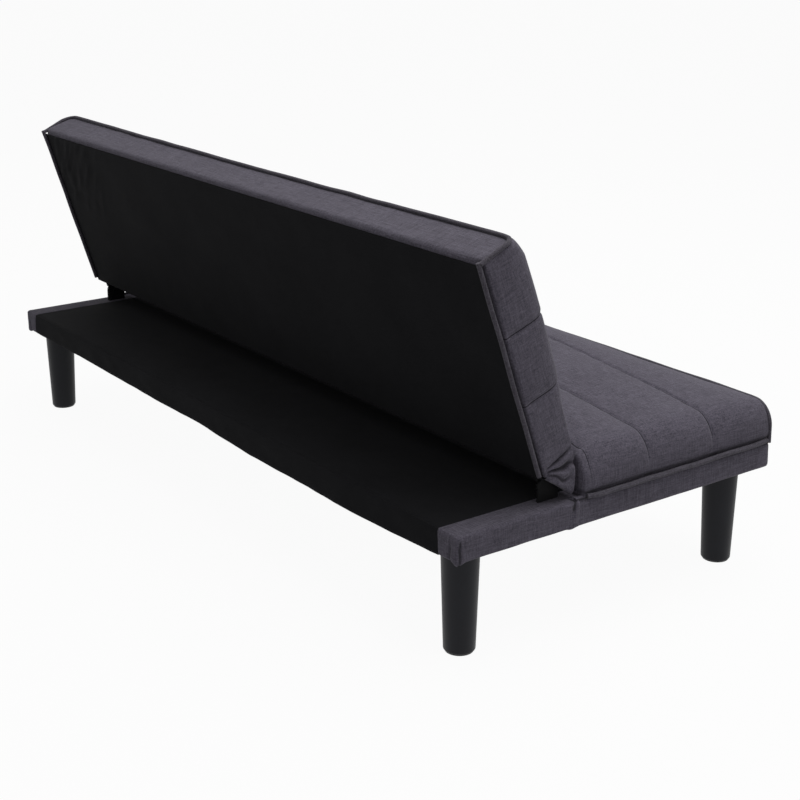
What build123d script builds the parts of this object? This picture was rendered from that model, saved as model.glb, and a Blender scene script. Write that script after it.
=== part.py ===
from build123d import *
import os
from math import cos, radians, sin, sqrt

# Armless click-clack sofa bed: a padded seat and a tall padded back on one low wooden base.
# Millimetres, +Z up, X along the sofa, the front at -Y, the origin on the floor under the middle.

# Base
base_length = 1680.0
base_depth = 740.0
base_clearance = 191.0
rail_height = 42.0
long_rail_width = 28.0
end_rail_width = 30.0
mid_rail_width = 28.0
mid_rail_to_pivot = 42.0
bearer_width = 28.0
bearer_height = 30.0
slat_width = 60.0
slat_thickness = 12.0
slat_count = 6
ledger_size = 18.0
block_leg = 92.0
block_height = 35.0
fabric = 2.0
lining = 1.2
wrap_strip = 49.0
wrap_return = 20.0
step_to_pivot = 36.0
cloth_return = 16.0
deck_lap = 6.0

# Legs
leg_inset_end = 58.7
leg_inset_rear = 54.0
leg_inset_front = 64.0
leg_top_diameter = 67.0
leg_foot_diameter = 55.0
leg_wall = 4.0
leg_cap = 34.0
leg_edge_cut = 3.0
glide_proud = 2.0
bolt_diameter = 8.0
bolt_depth_in_leg = 30.0
plate_nut_side = 32.0
plate_nut_thickness = 4.0

# Seat
webbing = 1.7
webbing_width = 60.0
strap_inset = 8.0
strap_gap = 3.0
seat_strap_count = 9
seat_overhang = 5.0
seat_front_inset = 6.0
seat_to_pivot = 50.0
seat_edge_height = 79.0
seat_corner_radius = 45.0
seat_crown = 31.0
seat_flat_share = 0.355
seat_seam_shares = (0.323, 0.668)
seat_channel_swell = 9.0
seat_front_swell = 4.0
seat_rear_round = 32.0
cover_wall = 12.0
soft_gap = 0.3
welt_radius = 4.0
welt_inset = 2.0
turn_steps = 4

# Back, measured in its own upright frame with the origin on the hinge axis
pivot_from_rear = 220.0
pivot_z = 262.0
lean = 18.0
back_rear = 24.0
back_top = 438.0
back_front_top = 444.0
back_rear_foot = 48.0
back_front_foot = -22.0
back_end_inset = 5.0
back_taper = 20.0
back_edge_depth = 71.0
back_seam_depth = 74.0
back_foot_depth = 52.0
back_low_depth = 65.0
back_crown = 18.0
back_flat_share = 0.5
back_corner_radius = 35.0
back_top_corner_radius = 14.0
back_seams = (310.0, 184.0)
back_channel_swell = 8.0
back_rail_width = 28.0
back_stile_width = 25.0
back_frame_front = -16.0
back_frame_foot = 50.0
back_frame_top = 426.0
back_strap_count = 4
back_strap_pitch = 76.0
lining_edge = 7.0

# Click-clack hinge
plate = 4.0
plate_gap = 0.5
ear_radius = 22.0
tooth_depth = 5.0
tooth_count = 5
tooth_step = 18.0
rivet_diameter = 10.0
rivet_head_diameter = 18.0
rivet_head = 2.5
running_gap = 0.1
arm_width = 30.0
back_arm_length = 205.0
base_arm_length = 118.0
base_arm_front = 28.0
base_arm_height = 30.0
base_arm_drop = 6.0
base_arm_round = 8.0
screw_diameter = 6.0
screw_head_diameter = 11.0
screw_head = 3.0
screw_length = 20.0
screw_pitch = 90.0
screws_to_arm = 2
screw_inset = 12.0
pawl_thickness = 1.4
pawl_width = 4.0
pawl_angle = -48.0
pawl_eye_inset = 24.0
pawl_knee_reach = 27.0
pawl_knee_rise = 12.0
pawl_knee_run = 16.0
pawl_eye_radius = 5.0
pawl_stud_radius = 2.6
notch_radius = 25.0
notch_side = 6.0

# Levels and planes that follow from these sizes
pivot_y = base_depth / 2 - pivot_from_rear
wood_x = base_length / 2 - fabric
wood_y = base_depth / 2 - fabric
wood_bottom = base_clearance + fabric
wood_top = wood_bottom + rail_height
end_inner = wood_x - end_rail_width
long_inner = wood_y - long_rail_width
strip_x = base_length / 2 - wrap_strip
step_y = pivot_y - step_to_pivot
seat_half_length = base_length / 2 + seat_overhang
seat_flat_half = seat_flat_share * seat_half_length
seat_front_y = seat_front_inset - base_depth / 2
seat_rear_y = pivot_y - seat_to_pivot
seat_seams = [seat_front_y + share * (seat_rear_y - seat_front_y) for share in seat_seam_shares]
back_foot_half_length = base_length / 2 - back_end_inset
back_top_half_length = back_foot_half_length - back_taper
back_flat_half = back_flat_share * back_foot_half_length
seat_bottom = wood_top + webbing + soft_gap
edge_cut = sqrt(2) * (welt_radius + soft_gap) + 2 * welt_inset + lining
foot_cut = sqrt(2) * (welt_radius + soft_gap) + 2 * welt_radius
leg_x = base_length / 2 - leg_inset_end
leg_rear_y = base_depth / 2 - leg_inset_rear
leg_front_y = leg_inset_front - base_depth / 2
leg_places = [(-leg_x, leg_rear_y), (leg_x, leg_rear_y), (-leg_x, leg_front_y), (leg_x, leg_front_y)]
sides = {"left": -1, "right": 1}
rest_place = Location((0, pivot_y, pivot_z)) * Location((0, 0, 0), (-lean, 0, 0))

nodes = {}


def span(x0, x1, y0, y1, z0, z1):
    """A box between two limits on each axis."""
    middle = ((x0 + x1) / 2, (y0 + y1) / 2, (z0 + z1) / 2)
    return Pos(*middle) * Box(abs(x1 - x0), abs(y1 - y0), abs(z1 - z0))


def rod(radius, z0, z1, x=0.0, y=0.0):
    """An upright cylinder between two heights."""
    return Pos(x, y, (z0 + z1) / 2) * Cylinder(radius, z1 - z0)


def cross_rod(radius, x0, x1, y=0.0, z=0.0):
    """A cylinder along X between two places."""
    return Pos((x0 + x1) / 2, y, z) * Rot(0, 90, 0) * Cylinder(radius, abs(x1 - x0))


def plate_yz(outline, x0, x1):
    """A flat plate across X, cut to an outline drawn with Y to the right and Z up."""
    return extrude(Plane.YZ.offset(min(x0, x1)) * outline, abs(x1 - x0))


def turned(steps):
    """A round solid on the Z axis through a few radii and heights."""
    rings = [Wire.make_circle(radius, Plane.XY.offset(z)) for radius, z in steps]
    return Solid.make_loft(rings, ruled=True)


def cord(path, normal, radius):
    """A round cord along a flat path of lines and arcs; normal stands on the path's plane."""
    edges = path.edges()
    total = sum(edge.length for edge in edges)
    marks = [0.0]
    for edge in edges:
        count = 1 if edge.geom_type == GeomType.LINE else turn_steps
        start = marks[-1]
        marks += [start + edge.length / total * (i + 1) / count for i in range(count)]
    rings = [Wire.make_circle(radius, Plane(path @ mark, x_dir=normal, z_dir=path % mark)) for mark in marks]
    return Solid.make_loft(rings, ruled=True)


def row(count, pitch):
    """Places of a centred row."""
    return [(i - (count - 1) / 2) * pitch for i in range(count)]


def draw_back(from_end, radius):
    """How far a rounded end has dropped away at a distance from that end."""
    if from_end >= radius:
        return 0.0
    return radius - sqrt(radius ** 2 - (radius - from_end) ** 2)


def crown(x, half, flat_half, rise):
    """Swell of a stuffed form along X: full in the middle, none at its ends."""
    off = max(0.0, (abs(x) - flat_half) / (half - flat_half))
    return rise * (1 - off ** 2)


def stations(half, radius, flat_half, turn_angles):
    """Places along X for the sections of a stuffed form, close together round its ends."""
    rounded = [half - radius * (1 - cos(radians(a))) for a in turn_angles]
    eased = [flat_half + (half - radius - flat_half) * share for share in (0.5, 0.0)]
    right = rounded + eased
    return [-x for x in right] + right[::-1]


shown_turn = (0, 30, 60, 90)
hidden_turn = (0, 90)


# Base frame: long rails run the full length, the other rails and the bearers butt between them.
nodes["front_rail"] = span(-wood_x, wood_x, -wood_y, -long_inner, wood_bottom, wood_top)
nodes["rear_rail"] = span(-wood_x, wood_x, long_inner, wood_y, wood_bottom, wood_top)
arm_z = wood_top - base_arm_drop - base_arm_height / 2
arm_front_y = pivot_y - base_arm_front
arm_rear_y = arm_front_y + base_arm_length
base_screw_places = [arm_front_y + screw_inset, arm_rear_y - screw_inset]
base_screw_end = end_inner - plate + screw_length
for side, sign in sides.items():
    end_rail = span(sign * end_inner, sign * wood_x, -long_inner, long_inner, wood_bottom, wood_top)
    for y in base_screw_places:
        end_rail -= cross_rod(screw_diameter / 2, sign * end_inner, sign * base_screw_end, y, arm_z)
    nodes[f"end_rail_{side}"] = end_rail
mid_rail_rear_y = pivot_y - mid_rail_to_pivot
mid_rail_front_y = mid_rail_rear_y - mid_rail_width
bearer_x = end_inner / 3
nodes["middle_rail"] = span(
    -end_inner, end_inner, mid_rail_front_y, mid_rail_rear_y, wood_bottom, wood_top)
nodes["cross_bearers"] = Part() + [
    span(sign * bearer_x - bearer_width / 2, sign * bearer_x + bearer_width / 2,
         -long_inner, mid_rail_front_y, wood_bottom, wood_bottom + bearer_height)
    for sign in sides.values()]

# Deck behind the back: slats on two ledgers, flush with the rails.
slat_bottom = wood_top - slat_thickness
slat_pitch = 2 * end_inner / (slat_count + 0.5)
ledger_x = (slat_count - 1) / 2 * slat_pitch + slat_width
nodes["slat_ledgers"] = Part() + [
    span(-ledger_x, ledger_x, y0, y0 + ledger_size, slat_bottom - ledger_size, slat_bottom)
    for y0 in (mid_rail_rear_y, long_inner - ledger_size)]
nodes["deck_slats"] = Part() + [
    span(x - slat_width / 2, x + slat_width / 2, mid_rail_rear_y, long_inner, slat_bottom, wood_top)
    for x in row(slat_count, slat_pitch)]

# Corner blocks: triangular, bored for the leg bolts.
block_top = wood_bottom + block_height
blocks = []
for x, y in leg_places:
    corner_x = end_inner if x > 0 else -end_inner
    corner_y = long_inner if y > 0 else -long_inner
    along_x = corner_x - block_leg if x > 0 else corner_x + block_leg
    along_y = corner_y - block_leg if y > 0 else corner_y + block_leg
    triangle = make_face(Polyline(
        (corner_x, corner_y), (along_x, corner_y), (corner_x, along_y), close=True))
    block = extrude(Plane.XY.offset(wood_bottom) * triangle, block_height)
    block -= rod(bolt_diameter / 2 + soft_gap, wood_bottom, block_top, x, y)
    blocks.append(block)
nodes["corner_blocks"] = Part() + blocks

# Legs: tapered mouldings, hollow from below, with a thick cap for the bolt and a glide over the foot.
leg_bottom = glide_proud
foot_bore = leg_foot_diameter / 2 - leg_wall
bolt_bottom = wood_bottom - bolt_depth_in_leg


def leg():
    """One leg, upright on the Z axis."""
    foot_radius = leg_foot_diameter / 2
    outside = turned([(foot_radius - leg_edge_cut, leg_bottom), (foot_radius, leg_bottom + leg_edge_cut),
                      (leg_top_diameter / 2, wood_bottom)])
    hollow = rod(foot_bore, leg_bottom, wood_bottom - leg_cap)
    return outside - hollow - rod(bolt_diameter / 2, bolt_bottom, wood_bottom)


nodes["legs"] = Part() + [Pos(x, y, 0) * leg() for x, y in leg_places]
nodes["leg_glides"] = Part() + [
    rod(leg_foot_diameter / 2 - leg_edge_cut, 0, glide_proud, x, y) for x, y in leg_places]
nodes["leg_bolts"] = Part() + [
    rod(bolt_diameter / 2, bolt_bottom, block_top + plate_nut_thickness, x, y) for x, y in leg_places]
nut_half = plate_nut_side / 2
nut_top = block_top + plate_nut_thickness
plate_nut = span(-nut_half, nut_half, -nut_half, nut_half, block_top, nut_top)
plate_nut -= rod(bolt_diameter / 2, block_top, nut_top)
nodes["plate_nuts"] = Part() + [Pos(x, y, 0) * plate_nut for x, y in leg_places]

# Black lining over the deck, down the rear face and under the frame.
deck_front_y = mid_rail_rear_y - deck_lap
nodes["deck_cloth"] = span(-strip_x, strip_x, deck_front_y, wood_y, wood_top, wood_top + lining)
rear_cloth = span(-strip_x, strip_x, wood_y, wood_y + lining, wood_bottom - lining, wood_top + lining)
rear_cloth += span(
    -strip_x, strip_x, wood_y - cloth_return, wood_y, wood_bottom - lining, wood_bottom)
nodes["rear_cloth"] = rear_cloth
dust_x = base_length / 2 - wrap_return - soft_gap
dust_y = base_depth / 2 - wrap_return - soft_gap
dust_cover = span(-dust_x, dust_x, -dust_y, dust_y, wood_bottom - lining, wood_bottom)
leg_room = leg_top_diameter / 2 + soft_gap
for x, y in leg_places:
    dust_cover -= span(x - leg_room, x + leg_room, y - leg_room, y + leg_room, 0, wood_bottom)
nodes["dust_cover"] = dust_cover

# Fabric round the base: a border below the seat and a wrap on each end behind it.
base_x = base_length / 2
base_y = base_depth / 2
border = span(-base_x, base_x, -base_y, step_y, base_clearance, seat_bottom - soft_gap)
border -= span(-wood_x, wood_x, -wood_y, base_y, wood_bottom, seat_bottom)
border -= span(-base_x + wrap_return, base_x - wrap_return,
               -base_y + wrap_return, base_y, base_clearance, wood_bottom)
nodes["seat_border"] = border

# Hinge planes along X, from the end rail inwards.
base_arm_outer = end_inner
base_arm_inner = base_arm_outer - plate
back_arm_outer = base_arm_inner - plate_gap
back_arm_inner = back_arm_outer - plate
stile_inner = back_arm_inner - back_stile_width
notch_inner = back_arm_inner - notch_side
notch_outer = base_arm_outer + notch_side
slot_front = pivot_y - ear_radius - notch_side
slot_rear = pivot_y + 2 * ear_radius

for side, sign in sides.items():
    wrap = span(sign * strip_x, sign * base_x, step_y, base_y, base_clearance, wood_top + fabric)
    wrap -= span(0, sign * wood_x, 0, wood_y, wood_bottom, wood_top)
    wrap -= span(0, sign * (base_x - wrap_return), 0, base_y - wrap_return, 0, wood_bottom)
    wrap -= span(sign * notch_inner, sign * notch_outer, slot_front, slot_rear, wood_top, pivot_z)
    nodes[f"end_wrap_{side}"] = wrap

# Seat: elastic straps, a crowned foam and a quilted cover with three lengthwise channels.
strap_front_y = -wood_y + strap_inset
strap_rear_y = deck_front_y - strap_gap
nodes["seat_webbing"] = Part() + [
    span(x - webbing_width / 2, x + webbing_width / 2,
         strap_front_y, strap_rear_y, wood_top, wood_top + webbing)
    for x in row(seat_strap_count, 2 * end_inner / seat_strap_count)]


def seat_section(x, inset):
    """Outline of the seat across one place along X. Drawn in by an inset, it is cut flat like the foam."""
    half = seat_half_length - inset
    from_end = half - abs(x)
    bottom = seat_bottom + max(0.0, foot_cut - 2 * inset - from_end)
    edge_z = seat_bottom + seat_edge_height - inset - draw_back(from_end, seat_corner_radius - inset)
    top_z = edge_z + crown(x, half, seat_flat_half, seat_crown)
    front = seat_front_y + inset + max(0.0, edge_cut - inset - from_end)
    rear = seat_rear_y - inset
    rear_round = min(seat_rear_round - inset, (top_z - seat_bottom) / 2)
    seam_1, seam_2 = seat_seams
    shoulder = rear - rear_round
    bow = rear_round * (1 - sqrt(0.5))
    lip_z = edge_z - edge_cut

    def bowed(y0, z0, y1, z1, forward, up):
        if inset:
            return Line((x, y0, z0), (x, y1, z1))
        middle = (x, (y0 + y1) / 2 - forward, (z0 + z1) / 2 + up)
        return ThreePointArc((x, y0, z0), middle, (x, y1, z1))

    def channel(y0, z0, y1, z1):
        return bowed(y0, z0, y1, z1, 0, seat_channel_swell)

    return Wire([
        Line((x, rear, bottom), (x, front, bottom)),
        bowed(front, bottom, front, lip_z, seat_front_swell, 0),
        Line((x, front, lip_z), (x, front + edge_cut, edge_z)),
        channel(front + edge_cut, edge_z, seam_1, top_z),
        channel(seam_1, top_z, seam_2, top_z),
        channel(seam_2, top_z, shoulder, top_z),
        ThreePointArc((x, shoulder, top_z), (x, rear - bow, top_z - bow), (x, rear, top_z - rear_round)),
        Line((x, rear, top_z - rear_round), (x, rear, bottom)),
    ])


def seat_form(inset):
    """The stuffed seat as one solid."""
    turn = hidden_turn if inset else shown_turn
    places = stations(seat_half_length - inset, seat_corner_radius - inset, seat_flat_half, turn)
    return Solid.make_loft([seat_section(x, inset) for x in reversed(places)], ruled=True)


nodes["seat_cover"] = seat_form(0.0) - seat_form(cover_wall)
nodes["seat_foam"] = seat_form(cover_wall + soft_gap)

# Seat welts: one round the front panel, one along the foot of each end.
welt_x = seat_half_length - welt_radius
welt_y = seat_front_y - welt_inset
welt_z = seat_bottom + seat_edge_height - welt_inset
foot_welt_z = seat_bottom + welt_radius
front_welt_path = Plane((0, welt_y, 0), x_dir=(1, 0, 0), z_dir=(0, -1, 0)) * FilletPolyline(
    (-welt_x, seat_bottom), (-welt_x, welt_z), (welt_x, welt_z), (welt_x, seat_bottom),
    radius=seat_corner_radius - welt_inset)
nodes["seat_front_welt"] = cord(front_welt_path, (0, -1, 0), welt_radius)
for side, sign in sides.items():
    foot_welt_path = Line((sign * welt_x, welt_y + welt_radius + soft_gap, foot_welt_z),
                          (sign * welt_x, seat_rear_y - welt_radius, foot_welt_z))
    nodes[f"seat_foot_welt_{side}"] = cord(foot_welt_path, (0, 0, 1), welt_radius)

# Click-clack hinge, base half: a stamped arm with an ear, the rivet and a sprung leaf pawl.
arm_mid_y = (arm_front_y + arm_rear_y) / 2
tooth_root = ear_radius - tooth_depth
pawl_eye_y = arm_rear_y - pawl_eye_inset
pawl_knee_y = pivot_y + pawl_knee_reach
pawl_knee_z = arm_z + pawl_knee_rise


def at_angle(radius, angle):
    """A point round the hinge axis, in the plane of the arms."""
    return (radius * cos(radians(angle)), radius * sin(radians(angle)))


def hex_screw(seat_x, direction, y, z):
    """A hexagon-head screw along X whose head sits at seat_x and whose shank runs in a direction."""
    shank = cross_rod(screw_diameter / 2, seat_x, seat_x + direction * screw_length, y, z)
    head = Pos(y, z) * RegularPolygon(screw_head_diameter / 2, 6)
    return shank + plate_yz(head, seat_x - direction * screw_head, seat_x)


base_outline = Pos(arm_mid_y, arm_z) * RectangleRounded(base_arm_length, base_arm_height, base_arm_round)
base_outline += Pos(pivot_y, (arm_z + pivot_z) / 2) * Rectangle(2 * ear_radius, pivot_z - arm_z)
base_outline += Pos(pivot_y, pivot_z) * Circle(ear_radius)
base_outline -= Pos(pivot_y, pivot_z) * Circle(rivet_diameter / 2)
for y in base_screw_places:
    base_outline -= Pos(y, arm_z) * Circle(screw_diameter / 2 + soft_gap)

tip_y, tip_z = at_angle(tooth_root + soft_gap, pawl_angle)
pawl_line = Polyline((pawl_eye_y, arm_z), (pawl_knee_y + pawl_knee_run, arm_z),
                     (pawl_knee_y, pawl_knee_z), (pivot_y + tip_y, pivot_z + tip_z))
pawl_outline = trace(pawl_line, pawl_thickness)
pawl_outline += Pos(pawl_eye_y, arm_z) * Circle(pawl_eye_radius)
pawl_outline -= Pos(pawl_eye_y, arm_z) * Circle(pawl_stud_radius + running_gap)

base_screws = []
rivets = []
for side, sign in sides.items():
    arm = plate_yz(base_outline, sign * base_arm_inner, sign * base_arm_outer)
    arm += cross_rod(pawl_stud_radius, sign * (base_arm_inner - pawl_width), sign * base_arm_outer,
                     pawl_eye_y, arm_z)
    nodes[f"hinge_base_arm_{side}"] = arm
    nodes[f"hinge_pawl_{side}"] = plate_yz(
        pawl_outline, sign * (base_arm_inner - pawl_width), sign * base_arm_inner)
    head_seat = back_arm_inner - running_gap
    rivet = cross_rod(rivet_diameter / 2, sign * head_seat, sign * base_arm_outer, pivot_y, pivot_z)
    rivet += cross_rod(rivet_head_diameter / 2, sign * (head_seat - rivet_head), sign * head_seat,
                       pivot_y, pivot_z)
    rivets.append(rivet)
    for y in base_screw_places:
        base_screws.append(hex_screw(sign * base_arm_inner, sign, y, arm_z))
nodes["hinge_rivets"] = Part() + rivets
nodes["base_arm_screws"] = Part() + base_screws

# The back is drawn upright in its own frame, then leaned back about the hinge axis.
rear_in = back_rear - lining
back_span = back_front_top - back_front_foot
upright = {}


def half_at(z):
    """Half length of the back at a height in its own frame: narrower at the top."""
    share = (z - back_front_foot) / back_span
    return back_foot_half_length + (back_top_half_length - back_foot_half_length) * share


def back_section(x, inset, rear):
    """Outline of the back at one place along X, tilted with its end. Drawn in, it is cut flat like the foam."""
    half = back_foot_half_length - inset
    from_end = half - abs(x)
    pull = draw_back(from_end, back_corner_radius - inset)
    top_pull = draw_back(from_end, max(back_top_corner_radius - inset, soft_gap))
    swell = crown(x, half, back_flat_half, back_crown)

    def point(y, z):
        return (x * half_at(z) / back_foot_half_length, y, z)

    def channel(y0, z0, y1, z1, bulge):
        if inset:
            return Line(point(y0, z0), point(y1, z1))
        return ThreePointArc(point(y0, z0), point((y0 + y1) / 2 - bulge, (z0 + z1) / 2), point(y1, z1))

    end_cut = max(0.0, edge_cut - inset - from_end)
    rear_y = rear - end_cut
    lip_y = back_rear - back_edge_depth + inset + top_pull
    top_z = back_front_top - inset - end_cut
    lip = (lip_y, top_z - edge_cut)
    front_top = (min(lip_y + edge_cut, rear_y - edge_cut), top_z)
    rear_top = (rear_y, back_top - inset - end_cut)
    seam_y = back_rear - back_seam_depth - swell + inset + pull
    low = (back_rear - back_low_depth + inset + pull, 0.0)
    foot = (back_rear - back_foot_depth + inset + pull, back_front_foot + inset)
    rear_foot = (rear_y, back_rear_foot + 2 * inset)
    return Wire([
        Line(point(*rear_foot), point(*rear_top)),
        Line(point(*rear_top), point(*front_top)),
        Line(point(*front_top), point(*lip)),
        channel(*lip, seam_y, back_seams[0], back_channel_swell),
        channel(seam_y, back_seams[0], seam_y, back_seams[1], back_channel_swell),
        channel(seam_y, back_seams[1], *low, back_channel_swell),
        channel(*low, *foot, back_channel_swell / 2),
        Line(point(*foot), point(*rear_foot)),
    ])


def back_form(inset, rear):
    """The stuffed back as one solid, cut flat at its rear."""
    turn = hidden_turn if inset else shown_turn
    places = stations(back_foot_half_length - inset, back_corner_radius - inset, back_flat_half, turn)
    return Solid.make_loft([back_section(x, inset, rear) for x in places], ruled=True)


# Back frame: two stiles, two rails and two short stiles between the rails.
stile_outer = back_arm_inner
back_mid_stile_x = stile_inner / 3
upright["back_top_rail"] = span(-stile_inner, stile_inner, back_frame_front, rear_in,
                                back_frame_top - back_rail_width, back_frame_top)
upright["back_bottom_rail"] = span(-stile_inner, stile_inner, back_frame_front, rear_in,
                                   back_frame_foot, back_frame_foot + back_rail_width)
back_screw_places = [back_frame_foot + back_rail_width / 2 + i * screw_pitch for i in range(screws_to_arm)]
arm_y = (back_frame_front + rear_in) / 2
for side, sign in sides.items():
    stile = span(sign * stile_inner, sign * stile_outer, back_frame_front, rear_in,
                 back_frame_foot, back_frame_top)
    for z in back_screw_places:
        screw_end = sign * (back_arm_outer - screw_length)
        stile -= cross_rod(screw_diameter / 2, screw_end, sign * stile_outer, arm_y, z)
    upright[f"back_stile_{side}"] = stile
upright["back_middle_stiles"] = Part() + [
    span(sign * back_mid_stile_x - back_stile_width / 2, sign * back_mid_stile_x + back_stile_width / 2,
         back_frame_front, rear_in, back_frame_foot + back_rail_width, back_frame_top - back_rail_width)
    for sign in sides.values()]
back_mid_z = (back_frame_foot + back_frame_top) / 2
upright["back_webbing"] = Part() + [
    span(-stile_outer, stile_outer, back_frame_front - webbing, back_frame_front,
         back_mid_z + z - webbing_width / 2, back_mid_z + z + webbing_width / 2)
    for z in row(back_strap_count, back_strap_pitch)]

# Click-clack hinge, back half: an arm whose foot is cut with one tooth gap for each set position.
back_outline = Pos(arm_y, back_arm_length / 2) * Rectangle(arm_width, back_arm_length)
back_outline += Pos(arm_y, back_arm_length) * Circle(arm_width / 2)
back_outline += Circle(ear_radius)
back_outline -= Circle(rivet_diameter / 2 + running_gap)
tooth_gap = make_face(Polyline(
    (tooth_root, -pawl_thickness), (ear_radius + tooth_depth, -2 * pawl_thickness),
    (ear_radius + tooth_depth, 2 * pawl_thickness), (tooth_root, pawl_thickness), close=True))
for i in range(tooth_count):
    back_outline -= Rot(0, 0, pawl_angle + lean + i * tooth_step) * tooth_gap
for z in back_screw_places:
    back_outline -= Pos(arm_y, z) * Circle(screw_diameter / 2)
back_screws = []
for side, sign in sides.items():
    upright[f"hinge_back_arm_{side}"] = plate_yz(back_outline, sign * back_arm_inner, sign * back_arm_outer)
    for z in back_screw_places:
        back_screws.append(hex_screw(sign * back_arm_outer, -sign, arm_y, z))
upright["back_arm_screws"] = Part() + back_screws

# Stuffing and quilted cover, with room for the frame and for the hinge at each end of the foot.
hinge_rooms = Part() + [
    cross_rod(notch_radius, sign * notch_inner, sign * notch_outer) for sign in sides.values()]
arm_rooms = Part() + [
    span(sign * notch_inner, sign * notch_outer, back_frame_front, back_rear, 0, back_frame_foot + soft_gap)
    for sign in sides.values()]
frame_room_x = back_arm_outer + screw_head + soft_gap
frame_room = span(-frame_room_x, frame_room_x, back_frame_front - webbing - soft_gap, back_rear,
                  back_frame_foot - soft_gap, back_frame_top + soft_gap)
upright["back_cover"] = back_form(0.0, rear_in) - back_form(cover_wall, 2 * back_rear) - hinge_rooms
upright["back_foam"] = back_form(cover_wall + soft_gap, rear_in) - frame_room - arm_rooms - hinge_rooms

# Rear lining: a taut sheet, narrower at the top.
lining_top = back_top - lining_edge
lining_foot_half = half_at(back_rear_foot) - lining_edge
lining_top_half = half_at(lining_top) - lining_edge
lining_outline = make_face(Polyline(
    (-lining_foot_half, back_rear_foot), (lining_foot_half, back_rear_foot),
    (lining_top_half, lining_top), (-lining_top_half, lining_top), close=True))
upright["back_lining"] = extrude(
    Plane((0, back_rear, 0), x_dir=(1, 0, 0), z_dir=(0, -1, 0)) * lining_outline, lining)

# Back welts: one round the top panel, one down the rear edge of each end.
top_edge = Vector(0, back_rear - back_edge_depth + welt_inset, back_front_top - welt_inset)
top_rear = Vector(0, rear_in - welt_radius, back_top - welt_inset)
top_run = top_rear - top_edge
top_plane = Plane(top_edge, x_dir=(1, 0, 0), z_dir=Vector(1, 0, 0).cross(top_run))
top_welt_x = back_top_half_length - welt_inset
top_welt_path = top_plane * FilletPolyline(
    (-top_welt_x, top_run.length), (-top_welt_x, 0), (top_welt_x, 0), (top_welt_x, top_run.length),
    radius=back_top_corner_radius - welt_inset)
upright["back_top_welt"] = cord(top_welt_path, top_plane.z_dir, welt_radius)
side_welt_top = back_top - welt_inset - 2 * welt_radius - 2 * soft_gap
side_welt_y = back_rear - welt_radius
for side, sign in sides.items():
    side_welt_path = Line((sign * (half_at(side_welt_top) - welt_inset), side_welt_y, side_welt_top),
                          (sign * (half_at(back_rear_foot) - welt_inset), side_welt_y, back_rear_foot))
    upright[f"back_side_welt_{side}"] = cord(side_welt_path, (0, 1, 0), welt_radius)

for name, shape in upright.items():
    nodes[name] = rest_place * shape

os.makedirs("parts", exist_ok=True)
for name, shape in nodes.items():
    export_step(shape, f"parts/{name}.step")
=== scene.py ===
import bmesh
import bpy
import numpy as np
from math import cos, pi, radians, sin
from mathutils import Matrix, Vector, noise


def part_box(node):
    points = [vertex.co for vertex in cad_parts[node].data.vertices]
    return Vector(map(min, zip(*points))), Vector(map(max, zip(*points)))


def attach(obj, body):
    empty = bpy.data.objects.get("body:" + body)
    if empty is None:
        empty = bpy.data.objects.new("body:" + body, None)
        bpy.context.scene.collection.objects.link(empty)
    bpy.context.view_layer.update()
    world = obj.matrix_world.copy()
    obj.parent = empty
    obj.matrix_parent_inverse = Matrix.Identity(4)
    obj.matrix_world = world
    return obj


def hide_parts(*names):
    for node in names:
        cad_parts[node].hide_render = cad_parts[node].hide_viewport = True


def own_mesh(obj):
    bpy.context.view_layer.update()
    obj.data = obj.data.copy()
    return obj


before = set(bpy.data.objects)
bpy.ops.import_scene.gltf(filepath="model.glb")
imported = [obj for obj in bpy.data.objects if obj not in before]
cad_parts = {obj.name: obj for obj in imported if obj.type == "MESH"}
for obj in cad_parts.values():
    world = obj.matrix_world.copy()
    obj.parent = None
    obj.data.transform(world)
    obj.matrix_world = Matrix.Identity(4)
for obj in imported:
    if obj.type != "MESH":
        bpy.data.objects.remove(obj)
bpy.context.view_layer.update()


# Wooden frame of base and back: planed softwood rails, bearers, slats and stiles,
# butted together and stapled. All of it is hidden under cloth when the sofa is whole.
def blank_material(name, roughness):
    """A new material with its node tree, its shader and the piece's own coordinates."""
    material = bpy.data.materials.new(name)
    material.use_nodes = True
    tree = material.node_tree
    shader = tree.nodes["Principled BSDF"]
    shader.inputs["Roughness"].default_value = roughness
    return material, tree, shader, tree.nodes.new("ShaderNodeTexCoord").outputs["Object"]


def set_sockets(node, values):
    """Sets sockets of a node by name, where an underscore may stand for a space."""
    for socket, value in values.items():
        node.inputs[socket.replace("_", " ")].default_value = value


def texture(tree, coordinate, kind="Noise", result="Fac", **values):
    """One value of a texture on a coordinate, with the texture's sockets set by name."""
    node = tree.nodes.new(f"ShaderNodeTex{kind}")
    tree.links.new(coordinate, node.inputs["Vector"])
    set_sockets(node, values)
    return node.outputs[result]


def stretched(tree, coordinate, scale):
    """Coordinates stretched along the axes, for grain and threads."""
    mapping = tree.nodes.new("ShaderNodeMapping")
    mapping.inputs["Scale"].default_value = scale
    tree.links.new(coordinate, mapping.inputs["Vector"])
    return mapping.outputs["Vector"]


def ramp(tree, source, stops):
    """A colour ramp with stops of place and colour."""
    node = tree.nodes.new("ShaderNodeValToRGB")
    tree.links.new(source, node.inputs["Fac"])
    band = node.color_ramp
    while len(band.elements) < len(stops):
        band.elements.new(0.5)
    for element, (place, colour) in zip(band.elements, stops):
        element.position = place
        element.color = (*colour, 1.0)
    return node.outputs["Color"]


def paint(tree, shader, source, stops):
    """Colours a shader by a ramp along one value."""
    tree.links.new(ramp(tree, source, stops), shader.inputs["Base Color"])


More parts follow.
